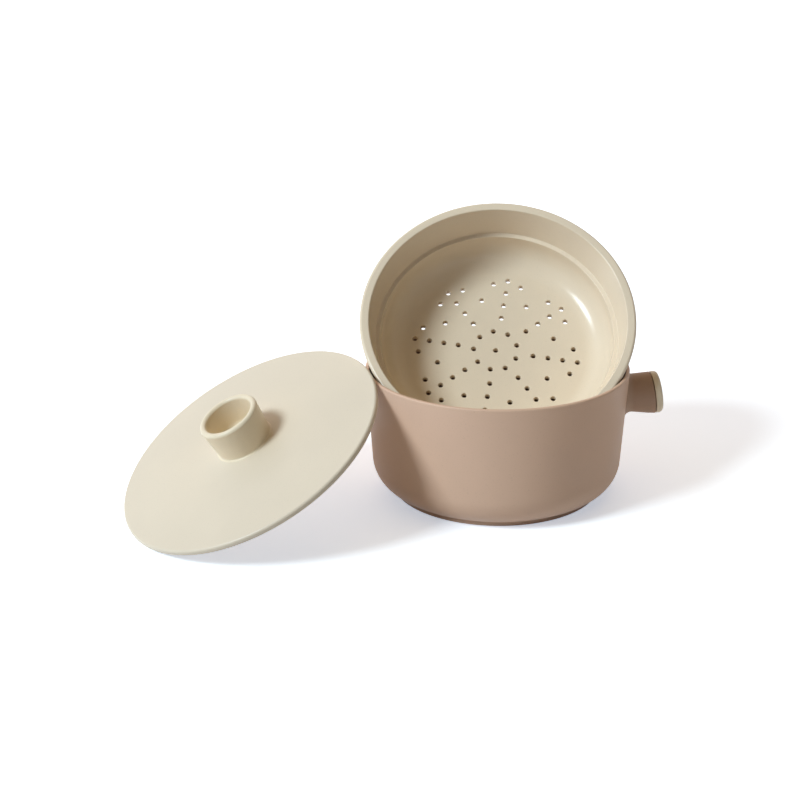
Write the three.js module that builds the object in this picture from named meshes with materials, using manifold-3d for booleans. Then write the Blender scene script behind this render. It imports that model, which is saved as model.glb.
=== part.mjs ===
// Steamer pot: a coated cast pot with one stub handle, a perforated steaming insert standing
// at a tilt in the pot's mouth, and a crowned lid with a hollow knob that leans on the pot.
// Millimetres, +Z up. The origin is the centre of the base, on the surface the pot stands on,
// and +X runs out along the handle.
import * as THREE from 'three';
import { mergeVertices } from 'three/addons/utils/BufferGeometryUtils.js';
import Module from 'manifold-3d';

const wasm = await Module();
wasm.setup();

// Fits shared by all pieces
const SEAT_GAP = 0.3; // between two faces that rest on each other
const SCREW_PLAY = 0.4; // round a screw in its hole
const INSERT_PLAY = 1.5; // round the insert's body in the pot's mouth
const LID_RING_PLAY = 3; // round the lid's locating ring in the insert's mouth

// Pot body
const POT_RIM_RADIUS = 100;
const POT_HEIGHT = 98;
const POT_TAPER = 3.6; // degrees, wider at the rim
const POT_WALL = 3.2;
const POT_RIM_ROUND = 1.2;
const POT_FLOOR = 6.5; // top of the inside floor
const POT_CORNER_RADIUS = 25;
const POT_CORNER_LIFT = 1.6; // lowest level of the round corner
const FOOT_INSET = 16; // foot's side, in from the wall above the corner
const FOOT_EDGE = 0.8;

// Steel disc let into the underside
const BASE_DISC_MARGIN = 9; // width of the foot ring left round the disc
const BASE_DISC_THICKNESS = 2.5;

// Stub handle
const HANDLE_DROP = 25; // from the rim down to the handle's axis
const HANDLE_LENGTH = 21; // from the wall to the seam of the end cap
const HANDLE_ROOT_RADIUS = 14.7;
const HANDLE_END_RADIUS = 16.1;
const HANDLE_END_LEAN = 8; // degrees that the end plane faces upwards
const HANDLE_FLARE = 5; // round flare where the grip meets the wall
const HANDLE_FLARE_EDGE = 0.4;
const GRIP_WEB = 3.5; // wall inside the grip that the bolt clamps
const CAP_THICKNESS = 6.2;
const CAP_ROUND = 3;
const CAP_SPIGOT_LENGTH = 3;
const CAP_SPIGOT_RADIUS = 9;

// Handle bolt, its washer and the threaded insert in the wall's boss
const BOLT_RADIUS = 2.5;
const BOLT_HEAD_RADIUS = 4.25;
const BOLT_HEAD_HEIGHT = 4;
const BOLT_SOCKET_RADIUS = 2.3;
const BOLT_SOCKET_DEPTH = 2;
const BOLT_END_CLEARANCE = 1; // from the bolt's tip to the wall
const BOLT_WASHER_RADIUS = 6.5;
const BOLT_WASHER_THICKNESS = 1.2;
const HANDLE_INSERT_WALL = 1.6;
const BOSS_WALL = 4.2;

// Steaming insert
const INSERT_RIM_RADIUS = 104;
const INSERT_RIM_WIDTH = 7;
const INSERT_RIM_ROUND = 2.4;
const INSERT_COLLAR_DEPTH = 29; // rim to the shoulder that sits on the pot
const INSERT_SHOULDER_OVERLAP = 2.1; // shoulder's edge, out over the pot's rim
const INSERT_LEDGE_DEPTH = 27; // rim to the ledge inside
const INSERT_LEDGE_WIDTH = 3.3;
const INSERT_LEDGE_DROP = 0.4; // from the ledge's outer edge to its inner one
const INSERT_BODY_WALL = 5.8;
const INSERT_FLOOR_DEPTH = 52; // rim to the inside floor
const INSERT_FLOOR = 4.6;
const INSERT_CORNER_RADIUS = 20;

// Steam holes in the insert's floor
const HOLE_RADIUS = 1.85;
const HOLE_INNER_RING_RADIUS = 17.2;
const HOLE_INNER_RING_COUNT = 9;
const HOLE_ARM_COUNT = 8;
const HOLE_ARM_START = 29.6;
const HOLE_ARM_PITCH = 11.6;
const HOLE_ARM_LENGTH = 4; // holes along one arm
const HOLE_FLANK_RADIUS = 60.8;
const HOLE_FLANK_ANGLE = 10.4; // degrees to each side of an arm
const HOLE_BETWEEN_RADIUS = 46.7;
const HOLE_RING_TURN = 105.6; // degrees from the lean to a hole of the inner ring
const HOLE_ARM_TURN = 170.7; // degrees from the lean to an arm

// Lid
const LID_OVERHANG = 1; // lid's edge, out past the insert's rim
const LID_THICKNESS = 4.6;
const LID_CROWN = 5;
const LID_EDGE_ROUND = 1.9;
const LID_RING_WIDTH = 4;
const LID_RING_HEIGHT = 4;
const LID_LAND_MARGIN = 1.5; // flat land on the crown, wider than the knob's foot

// Hollow knob
const KNOB_HEIGHT = 26;
const KNOB_TOP_RADIUS = 23.3;
const KNOB_FOOT_RADIUS = 21.2;
const KNOB_FOOT_FLARE = 1.4;
const KNOB_WALL = 4.8;
const KNOB_RIM_ROUND = 1.9;
const KNOB_FLOOR = 4.6;
const KNOB_BOSS_HEIGHT = 5.5;
const KNOB_BOSS_WALL = 3;
const KNOB_CUP_ROUND = 4;
const KNOB_INSERT_LENGTH = 7;
const KNOB_INSERT_WALL = 1.4;
const KNOB_SCREW_RADIUS = 2;
const KNOB_SCREW_HEAD_RADIUS = 4.6;
const KNOB_SCREW_HEAD_HEIGHT = 2.6;
const KNOB_SCREW_SLOT_WIDTH = 1.1;
const KNOB_SCREW_SLOT_DEPTH = 1.2;
const KNOB_WASHER_RADIUS = 6.5;
const KNOB_WASHER_THICKNESS = 1.2;
const KNOB_GASKET_MARGIN = 5; // from the knob's foot in to the gasket's edge
const KNOB_GASKET_THICKNESS = 0.8;

// How the loose pieces stand
const INSERT_TILT = 43.1; // degrees from level
const INSERT_LEAN = 265.6; // degrees from +X, the way the mouth faces
const INSERT_SETBACK = 1.8; // rim centre behind the pot's axis
const LID_TILT = 29.2;
const LID_LEAN = 209.6;
const LID_SIDE_SHIFT = -53.5; // lid centre beside the line of its lean

// Facets
const ROUND_SEGMENTS = 60;
const SMALL_SEGMENTS = 28;
const FASTENER_SEGMENTS = 16;
const HOLE_SEGMENTS = 8;
const SOCKET_SIDES = 6;
const ARC_STEPS = 2;
const CORNER_STEPS = 5;
const CROWN_STEPS = 4;
const MERGE_DISTANCE = 1e-4;
const CUT_OVERRUN = 1; // how far a cutter runs past the face it opens

// Contact search for the loose pieces
const SAMPLES_AROUND = 720;
const SAMPLES_ALONG = 3;
const SEARCH_STEP = 2;
const SEARCH_HALVINGS = 30;

// Derived sizes of the pot
const radians = THREE.MathUtils.degToRad;
const potTaper = radians(POT_TAPER);
const potOuterRadius = (z) => POT_RIM_RADIUS - (POT_HEIGHT - z) * Math.tan(potTaper);
const potInnerRadius = (z) => potOuterRadius(z) - POT_WALL;
const footRadius = potOuterRadius(POT_CORNER_LIFT + POT_CORNER_RADIUS) - FOOT_INSET;
const baseDiscRadius = footRadius - BASE_DISC_MARGIN;

// Derived places along the handle, measured out from the pot's axis
const handleZ = POT_HEIGHT - HANDLE_DROP;
const wallX = potOuterRadius(handleZ);
const seamX = wallX + HANDLE_LENGTH;
const boltHeadX = seamX - CAP_SPIGOT_LENGTH - SEAT_GAP - BOLT_HEAD_HEIGHT - CAP_SPIGOT_RADIUS
  * Math.sin(radians(HANDLE_END_LEAN));
const washerX = boltHeadX - SEAT_GAP - BOLT_WASHER_THICKNESS;
const webOuterX = washerX - SEAT_GAP;
const webInnerX = webOuterX - GRIP_WEB;
const bossEndX = webInnerX - SEAT_GAP;
const handleInsertRadius = BOLT_RADIUS + SEAT_GAP + HANDLE_INSERT_WALL;
const bossRadius = handleInsertRadius + SEAT_GAP + BOSS_WALL;
const capBoreRadius = CAP_SPIGOT_RADIUS + SEAT_GAP + CAP_SPIGOT_LENGTH
  * Math.sin(radians(HANDLE_END_LEAN));

// Derived sizes of the insert, with its rim in the plane z = 0 and its axis on Z
const insertInnerRim = INSERT_RIM_RADIUS - INSERT_RIM_WIDTH;
const insertBodyTop = potInnerRadius(POT_HEIGHT) - INSERT_PLAY;
const insertBodyOuter = (depth) => insertBodyTop
  - (depth - INSERT_COLLAR_DEPTH) * Math.tan(potTaper);
const insertBodyInner = (depth) => insertBodyOuter(depth) - INSERT_BODY_WALL;

// Derived sizes of the lid, with its edge in the plane z = 0, and of the knob on its land
const lidRadius = INSERT_RIM_RADIUS + LID_OVERHANG;
const lidRingRadius = insertInnerRim - LID_RING_PLAY;
const knobFootEdge = KNOB_FOOT_RADIUS + KNOB_FOOT_FLARE;
const lidLandRadius = knobFootEdge + LID_LAND_MARGIN;
const crownSpan = lidRadius - lidLandRadius;
const crownRadius = (crownSpan ** 2 + LID_CROWN ** 2) / (2 * LID_CROWN);
const lidTop = (r) => LID_CROWN - crownRadius
  + Math.sqrt(crownRadius ** 2 - Math.max(0, r - lidLandRadius) ** 2);
const knobZ = LID_CROWN + SEAT_GAP;
const knobScrewHole = KNOB_SCREW_RADIUS + SCREW_PLAY;
const knobInsertRadius = KNOB_SCREW_RADIUS + SEAT_GAP + KNOB_INSERT_WALL;
const knobPocketRadius = knobInsertRadius + SEAT_GAP;
const knobBossRadius = knobPocketRadius + KNOB_BOSS_WALL;
const gasketRadius = knobFootEdge - KNOB_GASKET_MARGIN;
const gasketRecess = KNOB_GASKET_THICKNESS + SEAT_GAP;
const lidUnderside = LID_CROWN - LID_THICKNESS;

// Points of an arc about (r, z) from one angle to another, in degrees
function arc(r, z, radius, from, to, steps = ARC_STEPS) {
  return Array.from({ length: steps + 1 }, (_, i) => {
    const angle = radians(from + ((to - from) * i) / steps);
    return [r + radius * Math.cos(angle), z + radius * Math.sin(angle)];
  });
}

// One shared vertex per corner, and no triangle without an area
function closed(geometry) {
  geometry.deleteAttribute('normal');
  geometry.deleteAttribute('uv');
  const merged = mergeVertices(geometry, MERGE_DISTANCE);
  const corners = merged.index.array;
  const kept = [];
  for (let i = 0; i < corners.length; i += 3) {
    const [a, b, c] = corners.slice(i, i + 3);
    if (a !== b && b !== c && c !== a) kept.push(a, b, c);
  }
  merged.setIndex(kept);
  return merged;
}

// A solid of revolution about Z from (radius, z) points that run anticlockwise
function revolve(profile, segments = ROUND_SEGMENTS) {
  const points = profile.map(([r, z]) => new THREE.Vector2(r, z));
  return closed(new THREE.LatheGeometry(points, segments).rotateX(Math.PI / 2));
}

// A ring-shaped profile closes on its first point
const ring = (profile, segments) => revolve([...profile, profile[0]], segments);

// A flat washer-like ring between two radii and two levels
const flatRing = (inner, outer, low, high, segments) => ring(
  [[inner, low], [outer, low], [outer, high], [inner, high]],
  segments,
);

// A plain cylinder along Z between two levels
function rod(radius, low, high, segments) {
  const cylinder = new THREE.CylinderGeometry(radius, radius, high - low, segments);
  return closed(cylinder.rotateX(Math.PI / 2).translate(0, 0, (low + high) / 2));
}

// Geometry built about Z, laid along the handle's axis
const alongHandle = (geometry) => geometry.rotateY(Math.PI / 2).translate(0, 0, handleZ);

// Solids for joining and cutting, and back to geometry
function solid(geometry) {
  return new wasm.Manifold(new wasm.Mesh({
    numProp: 3,
    vertProperties: new Float32Array(geometry.attributes.position.array),
    triVerts: new Uint32Array(geometry.index.array),
  }));
}

function geometryOf(manifold) {
  const mesh = manifold.getMesh();
  const geometry = new THREE.BufferGeometry();
  geometry.setAttribute('position', new THREE.BufferAttribute(mesh.vertProperties, 3));
  geometry.setIndex(new THREE.BufferAttribute(mesh.triVerts, 1));
  return geometry;
}

// Finishes
const finish = (color, roughness, metalness) => ({ color, roughness, metalness });
const PINK_COATING = finish('#b89a8a', 0.6, 0);
const PINK_RESIN = finish('#a98a7b', 0.6, 0);
const CREAM_GLAZE = finish('#d9cfba', 0.22, 0);
const CREAM_SATIN = finish('#ddd6c3', 0.4, 0);
const STAINLESS = finish('#b9babb', 0.35, 1);
const BRASS = finish('#b99a55', 0.4, 1);
const SILICONE = finish('#8d867c', 0.8, 0);

function piece(name, geometry, look) {
  const material = new THREE.MeshStandardMaterial({ ...look, flatShading: true });
  const mesh = new THREE.Mesh(geometry, material);
  mesh.name = name;
  return mesh;
}

// Pot body: foot, round corner, tapered wall, rounded rim, inside corner and floor
function potProfile() {
  const outerCentreZ = POT_CORNER_LIFT + POT_CORNER_RADIUS;
  const outerCentreR = potOuterRadius(outerCentreZ) - POT_CORNER_RADIUS / Math.cos(potTaper);
  const footReach = (footRadius - outerCentreR) / POT_CORNER_RADIUS;
  const footAngle = -THREE.MathUtils.radToDeg(Math.acos(Math.max(0, footReach)));
  const innerRadius = POT_CORNER_RADIUS - POT_WALL;
  const innerCentreZ = POT_FLOOR + innerRadius;
  const innerCentreR = potInnerRadius(innerCentreZ) - innerRadius / Math.cos(potTaper);
  const rimZ = POT_HEIGHT - POT_RIM_ROUND;
  const recessRadius = baseDiscRadius + SEAT_GAP;
  const recessZ = BASE_DISC_THICKNESS + SEAT_GAP;
  const footTop = outerCentreZ + POT_CORNER_RADIUS * Math.sin(radians(footAngle));
  return [
    [0, recessZ],
    [recessRadius, recessZ],
    [recessRadius, 0],
    [footRadius - FOOT_EDGE, 0],
    [footRadius, FOOT_EDGE],
    [footRadius, footTop],
    ...arc(outerCentreR, outerCentreZ, POT_CORNER_RADIUS, footAngle, -POT_TAPER, CORNER_STEPS).slice(1),
    ...arc(potOuterRadius(rimZ) - POT_RIM_ROUND, rimZ, POT_RIM_ROUND, 0, 90),
    ...arc(potInnerRadius(rimZ) + POT_RIM_ROUND, rimZ, POT_RIM_ROUND, 90, 180),
    ...arc(innerCentreR, innerCentreZ, innerRadius, -POT_TAPER, -90, CORNER_STEPS),
    [0, POT_FLOOR],
  ];
}

function potBody() {
  const boss = alongHandle(rod(bossRadius, wallX - POT_WALL / 2, bossEndX, SMALL_SEGMENTS));
  const boreRadius = handleInsertRadius + SEAT_GAP;
  const bore = alongHandle(rod(boreRadius, wallX, bossEndX + CUT_OVERRUN, FASTENER_SEGMENTS));
  const body = solid(revolve(potProfile())).add(solid(boss)).subtract(solid(bore));
  return piece('pot_body', geometryOf(body), PINK_COATING);
}

function baseDisc() {
  return piece('base_disc', rod(baseDiscRadius, 0, BASE_DISC_THICKNESS, ROUND_SEGMENTS), STAINLESS);
}

// Handle grip: a hollow stub whose flared root follows the wall and whose end plane leans
function handleGrip() {
  const rootX = wallX + SEAT_GAP;
  const flareX = rootX + HANDLE_FLARE_EDGE + HANDLE_FLARE;
  const flareRadius = HANDLE_ROOT_RADIUS + HANDLE_FLARE;
  const bossPocket = bossRadius + SEAT_GAP;
  const boltHole = BOLT_RADIUS + SCREW_PLAY;
  const grip = ring([
    [flareRadius, rootX],
    ...arc(flareRadius, flareX, HANDLE_FLARE, -90, -180, CORNER_STEPS),
    [HANDLE_END_RADIUS, seamX],
    [capBoreRadius, seamX],
    [capBoreRadius, webOuterX],
    [boltHole, webOuterX],
    [boltHole, webInnerX],
    [bossPocket, webInnerX],
    [bossPocket, rootX],
  ], SMALL_SEGMENTS).rotateY(Math.PI / 2);
  const points = grip.attributes.position;
  const lean = Math.tan(radians(HANDLE_END_LEAN));
  for (let i = 0; i < points.count; i += 1) {
    const x = points.getX(i);
    const y = points.getY(i);
    const z = points.getZ(i);
    const wallHere = Math.sqrt(potOuterRadius(handleZ + z) ** 2 - y ** 2);
    const rootShare = THREE.MathUtils.clamp((flareX - x) / (flareX - rootX), 0, 1);
    const endShare = x > seamX - MERGE_DISTANCE ? 1 : 0;
    points.setX(i, x + (wallHere - wallX) * rootShare - z * lean * endShare);
  }
  return piece('handle_grip', grip.translate(0, 0, handleZ), PINK_RESIN);
}

function handleFastening() {
  const insert = flatRing(
    BOLT_RADIUS + SEAT_GAP,
    handleInsertRadius,
    wallX + SEAT_GAP,
    bossEndX,
    FASTENER_SEGMENTS,
  );
  const washer = flatRing(
    BOLT_RADIUS + SCREW_PLAY,
    BOLT_WASHER_RADIUS,
    washerX,
    washerX + BOLT_WASHER_THICKNESS,
    FASTENER_SEGMENTS,
  );
  const headEndX = boltHeadX + BOLT_HEAD_HEIGHT;
  const bolt = revolve([
    [0, wallX + BOLT_END_CLEARANCE],
    [BOLT_RADIUS, wallX + BOLT_END_CLEARANCE],
    [BOLT_RADIUS, boltHeadX],
    [BOLT_HEAD_RADIUS, boltHeadX],
    [BOLT_HEAD_RADIUS, headEndX],
    [0, headEndX],
  ], FASTENER_SEGMENTS);
  const socketX = headEndX - BOLT_SOCKET_DEPTH;
  const socket = rod(BOLT_SOCKET_RADIUS, socketX, headEndX + CUT_OVERRUN, SOCKET_SIDES);
  const socketBolt = geometryOf(solid(bolt).subtract(solid(socket)));
  return [
    piece('handle_threaded_insert', alongHandle(insert), STAINLESS),
    piece('handle_washer', alongHandle(washer), STAINLESS),
    piece('handle_bolt', alongHandle(socketBolt), STAINLESS),
  ];
}

// End cap: a round-edged disc with a spigot, square to the leaning end plane
function handleEndCap() {
  const edgeZ = CAP_THICKNESS - CAP_ROUND;
  const cap = revolve([
    [0, -CAP_SPIGOT_LENGTH],
    [CAP_SPIGOT_RADIUS, -CAP_SPIGOT_LENGTH],
    [CAP_SPIGOT_RADIUS, SEAT_GAP],
    [HANDLE_END_RADIUS, SEAT_GAP],
    ...arc(HANDLE_END_RADIUS - CAP_ROUND, edgeZ, CAP_ROUND, 0, 90, CORNER_STEPS),
    [0, CAP_THICKNESS],
  ], SMALL_SEGMENTS);
  const mesh = piece('handle_end_cap', cap, CREAM_SATIN);
  mesh.position.set(seamX, 0, handleZ);
  mesh.rotation.y = Math.PI / 2 - radians(HANDLE_END_LEAN);
  return mesh;
}

// Steaming insert: rounded rim, drafted collar, ledge, body with a round corner, flat floor
function insertProfile() {
  const baseDepth = INSERT_FLOOR_DEPTH + INSERT_FLOOR;
  const outerRound = INSERT_CORNER_RADIUS + INSERT_BODY_WALL;
  const outerCentreDepth = baseDepth - outerRound;
  const outerCentreR = insertBodyOuter(outerCentreDepth) - outerRound / Math.cos(potTaper);
  const innerCentreDepth = INSERT_FLOOR_DEPTH - INSERT_CORNER_RADIUS;
  const innerCentreR = insertBodyInner(innerCentreDepth)
    - INSERT_CORNER_RADIUS / Math.cos(potTaper);
  const collarFoot = potInnerRadius(POT_HEIGHT) + INSERT_SHOULDER_OVERLAP;
  const ledgeFoot = INSERT_LEDGE_DEPTH + INSERT_LEDGE_DROP;
  const ledgeEdge = insertBodyInner(ledgeFoot);
  const collarInside = ledgeEdge + INSERT_LEDGE_WIDTH;
  const rimRound = INSERT_RIM_ROUND;
  return [
    [0, -baseDepth],
    ...arc(outerCentreR, -outerCentreDepth, outerRound, -90, -POT_TAPER, CORNER_STEPS),
    [insertBodyTop, -INSERT_COLLAR_DEPTH],
    [collarFoot, -INSERT_COLLAR_DEPTH],
    ...arc(INSERT_RIM_RADIUS - rimRound, -rimRound, rimRound, 0, 90),
    ...arc(insertInnerRim + rimRound, -rimRound, rimRound, 90, 180),
    [collarInside, -INSERT_LEDGE_DEPTH],
    [ledgeEdge, -ledgeFoot],
    ...arc(innerCentreR, -innerCentreDepth, INSERT_CORNER_RADIUS, -POT_TAPER, -90, CORNER_STEPS),
    [0, -INSERT_FLOOR_DEPTH],
  ];
}

// Steam holes: one in the middle, a ring, straight arms with flankers, and one between arms
function holePlaces() {
  const at = (radius, degrees) => [
    radius * Math.cos(radians(degrees)),
    radius * Math.sin(radians(degrees)),
  ];
  const places = [[0, 0]];
  for (let i = 0; i < HOLE_INNER_RING_COUNT; i += 1) {
    places.push(at(HOLE_INNER_RING_RADIUS, HOLE_RING_TURN + (i * 360) / HOLE_INNER_RING_COUNT));
  }
  for (let arm = 0; arm < HOLE_ARM_COUNT; arm += 1) {
    const turn = HOLE_ARM_TURN + (arm * 360) / HOLE_ARM_COUNT;
    for (let step = 0; step < HOLE_ARM_LENGTH; step += 1) {
      places.push(at(HOLE_ARM_START + step * HOLE_ARM_PITCH, turn));
    }
    places.push(at(HOLE_FLANK_RADIUS, turn - HOLE_FLANK_ANGLE));
    places.push(at(HOLE_FLANK_RADIUS, turn + HOLE_FLANK_ANGLE));
    places.push(at(HOLE_BETWEEN_RADIUS, turn + 180 / HOLE_ARM_COUNT));
  }
  return places;
}

function steamerInsert() {
  const floorTop = -INSERT_FLOOR_DEPTH + CUT_OVERRUN;
  const floorLow = -INSERT_FLOOR_DEPTH - INSERT_FLOOR - CUT_OVERRUN;
  const hole = rod(HOLE_RADIUS, floorLow, floorTop, HOLE_SEGMENTS);
  let body = solid(revolve(insertProfile()));
  for (const [x, y] of holePlaces()) {
    body = body.subtract(solid(hole.clone().translate(x, y, 0)));
  }
  return piece('steamer_insert', geometryOf(body), CREAM_GLAZE);
}

// Lid: crowned plate with a flat land for the knob and a locating ring underneath
function lidProfile() {
  const edgeRadius = lidRadius - LID_EDGE_ROUND;
  const ringFoot = -LID_THICKNESS - LID_RING_HEIGHT;
  const ringInside = lidRingRadius - LID_RING_WIDTH;
  const crown = Array.from({ length: CROWN_STEPS }, (_, i) => {
    const r = edgeRadius + ((lidLandRadius - edgeRadius) * (i + 1)) / CROWN_STEPS;
    return [r, lidTop(r)];
  });
  const under = crown.map(([r]) => r).filter((r) => r < ringInside).reverse();
  return [
    [knobScrewHole, lidUnderside],
    ...under.map((r) => [r, lidTop(r) - LID_THICKNESS]),
    [ringInside, lidTop(ringInside) - LID_THICKNESS],
    [ringInside, ringFoot],
    [lidRingRadius, ringFoot],
    [lidRingRadius, -LID_THICKNESS],
    ...arc(edgeRadius, LID_EDGE_ROUND - LID_THICKNESS, LID_EDGE_ROUND, -90, 0),
    ...arc(edgeRadius, lidTop(edgeRadius) - LID_EDGE_ROUND, LID_EDGE_ROUND, 0, 90),
    ...crown,
    [knobScrewHole, LID_CROWN],
  ];
}

function lidPlate() {
  return piece('lid_plate', ring(lidProfile()), CREAM_SATIN);
}

// Knob: a flared cup with a boss on its floor and a recess for the gasket under its foot
function lidKnob() {
  const rimZ = knobZ + KNOB_HEIGHT - KNOB_RIM_ROUND;
  const cupFloor = knobZ + KNOB_FLOOR;
  const bossTop = cupFloor + KNOB_BOSS_HEIGHT;
  const pocketTop = LID_CROWN + gasketRecess + SEAT_GAP + KNOB_INSERT_LENGTH + SEAT_GAP;
  const cupRadius = KNOB_FOOT_RADIUS - KNOB_WALL;
  const recessRadius = gasketRadius + SEAT_GAP;
  const recessZ = knobZ + gasketRecess;
  const knob = revolve([
    [0, pocketTop],
    [knobPocketRadius, pocketTop],
    [knobPocketRadius, recessZ],
    [recessRadius, recessZ],
    [recessRadius, knobZ],
    [knobFootEdge, knobZ],
    ...arc(knobFootEdge, knobZ + KNOB_FOOT_FLARE, KNOB_FOOT_FLARE, -90, -180).slice(1),
    ...arc(KNOB_TOP_RADIUS - KNOB_RIM_ROUND, rimZ, KNOB_RIM_ROUND, 0, 90),
    ...arc(KNOB_TOP_RADIUS - KNOB_WALL + KNOB_RIM_ROUND, rimZ, KNOB_RIM_ROUND, 90, 180),
    ...arc(cupRadius - KNOB_CUP_ROUND, cupFloor + KNOB_CUP_ROUND, KNOB_CUP_ROUND, 0, -90),
    [knobBossRadius, cupFloor],
    [knobBossRadius, bossTop],
    [0, bossTop],
  ], SMALL_SEGMENTS);
  return piece('lid_knob', knob, CREAM_SATIN);
}

function knobFastening() {
  const gasketZ = LID_CROWN + SEAT_GAP;
  const gasket = flatRing(
    knobScrewHole,
    gasketRadius,
    gasketZ,
    gasketZ + KNOB_GASKET_THICKNESS,
    SMALL_SEGMENTS,
  );
  const insertZ = knobZ + gasketRecess;
  const insert = flatRing(
    KNOB_SCREW_RADIUS + SEAT_GAP,
    knobInsertRadius,
    insertZ,
    insertZ + KNOB_INSERT_LENGTH,
    FASTENER_SEGMENTS,
  );
  const washerTop = lidUnderside - SEAT_GAP;
  const washerLow = washerTop - KNOB_WASHER_THICKNESS;
  const washer = flatRing(knobScrewHole, KNOB_WASHER_RADIUS, washerLow, washerTop, FASTENER_SEGMENTS);
  const headTop = washerLow - SEAT_GAP;
  const headLow = headTop - KNOB_SCREW_HEAD_HEIGHT;
  const screw = revolve([
    [0, headLow],
    [KNOB_SCREW_HEAD_RADIUS, headLow],
    [KNOB_SCREW_HEAD_RADIUS, headTop],
    [KNOB_SCREW_RADIUS, headTop],
    [KNOB_SCREW_RADIUS, insertZ + KNOB_INSERT_LENGTH - SEAT_GAP],
    [0, insertZ + KNOB_INSERT_LENGTH - SEAT_GAP],
  ], FASTENER_SEGMENTS);
  const slotLength = 2 * (KNOB_SCREW_HEAD_RADIUS + CUT_OVERRUN);
  const slotHeight = KNOB_SCREW_SLOT_DEPTH + CUT_OVERRUN;
  const slot = closed(new THREE.BoxGeometry(slotLength, KNOB_SCREW_SLOT_WIDTH, slotHeight));
  slot.translate(0, 0, headLow + KNOB_SCREW_SLOT_DEPTH - slotHeight / 2);
  return [
    piece('knob_gasket', gasket, SILICONE),
    piece('knob_threaded_insert', insert, BRASS),
    piece('knob_washer', washer, STAINLESS),
    piece('knob_screw', geometryOf(solid(screw).subtract(solid(slot))), STAINLESS),
  ];
}

// Distance from a point outside the pot's wall to the wall, which is a ring about Z
function wallGap(point) {
  const r = Math.hypot(point.x, point.y);
  const z = Math.min(point.z, POT_HEIGHT);
  const aside = Math.max(potInnerRadius(z) - r, r - potOuterRadius(z));
  const above = point.z - POT_HEIGHT;
  return above > 0 ? Math.hypot(Math.max(0, aside), above) : aside;
}

// Points all over the surface that a profile sweeps
function surfacePoints(profile) {
  const points = [];
  for (let i = 0; i + 1 < profile.length; i += 1) {
    const [r0, z0] = profile[i];
    const [r1, z1] = profile[i + 1];
    for (let step = 0; step < SAMPLES_ALONG; step += 1) {
      const share = step / SAMPLES_ALONG;
      const r = r0 + (r1 - r0) * share;
      const z = z0 + (z1 - z0) * share;
      for (let turn = 0; turn < SAMPLES_AROUND; turn += 1) {
        const angle = (turn * 2 * Math.PI) / SAMPLES_AROUND;
        points.push(new THREE.Vector3(r * Math.cos(angle), r * Math.sin(angle), z));
      }
    }
  }
  return points;
}

// A frame that leans its +Z towards a compass direction, standing at a place along that lean
function leaning(tilt, lean, place) {
  const turned = new THREE.Group();
  turned.rotation.z = radians(lean);
  const tilted = new THREE.Group();
  tilted.rotation.y = radians(tilt);
  tilted.position.copy(place);
  turned.add(tilted);
  turned.updateMatrixWorld(true);
  return { turned, tilted };
}

// Moves a leaning piece from afar towards the pot until it is one seat gap away from the wall
function restOnPot(points, tilt, lean, placeAt, afar) {
  const gapAt = (distance) => {
    const { matrixWorld } = leaning(tilt, lean, placeAt(distance)).tilted;
    const moved = new THREE.Vector3();
    return points.reduce((least, point) => {
      moved.copy(point).applyMatrix4(matrixWorld);
      return Math.min(least, wallGap(moved));
    }, Infinity);
  };
  let clear = afar;
  while (gapAt(clear - SEARCH_STEP) > SEAT_GAP) clear -= SEARCH_STEP;
  let touching = clear - SEARCH_STEP;
  for (let i = 0; i < SEARCH_HALVINGS; i += 1) {
    const middle = (clear + touching) / 2;
    if (gapAt(middle) > SEAT_GAP) clear = middle;
    else touching = middle;
  }
  return leaning(tilt, lean, placeAt(clear));
}

// The insert is lowered into the pot's mouth at its tilt until its rim meets the pot's rim
function placedInsert() {
  const placeAt = (height) => new THREE.Vector3(-INSERT_SETBACK, 0, height);
  const afar = POT_HEIGHT + 2 * INSERT_RIM_RADIUS;
  const { turned, tilted } = restOnPot(
    surfacePoints(insertProfile()),
    INSERT_TILT,
    INSERT_LEAN,
    placeAt,
    afar,
  );
  tilted.add(steamerInsert());
  return turned;
}

// The lid stands on its low edge and is slid towards the pot until it leans on the rim
function placedLid() {
  const tilt = radians(LID_TILT);
  const dips = lidProfile().map(([r, z]) => r * Math.sin(tilt) - z * Math.cos(tilt));
  const height = Math.max(...dips);
  const placeAt = (distance) => new THREE.Vector3(distance, LID_SIDE_SHIFT, height);
  const afar = POT_RIM_RADIUS + 2 * lidRadius;
  const { turned, tilted } = restOnPot(
    surfacePoints(lidProfile()),
    LID_TILT,
    LID_LEAN,
    placeAt,
    afar,
  );
  tilted.add(lidPlate(), lidKnob(), ...knobFastening());
  return turned;
}

const steamerPot = new THREE.Group();
steamerPot.name = 'steamer_pot';
steamerPot.add(
  potBody(),
  baseDisc(),
  handleGrip(),
  ...handleFastening(),
  handleEndCap(),
  placedInsert(),
  placedLid(),
);

export default steamerPot;
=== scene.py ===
"""Looks of the steamer pot: a coated pot with a stub handle, a steaming insert and a lid.

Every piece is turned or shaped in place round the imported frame, in metres, with +Z up.
"""

from math import acos, atan2, copysign, cos, pi, radians, sin, sqrt, tan, tau

import bmesh
import bpy
from bpy.props import FloatProperty, FloatVectorProperty, IntProperty, PointerProperty
from bpy.types import NodeSocket, Operator, Panel, PropertyGroup
from mathutils import Matrix, Vector


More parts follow.
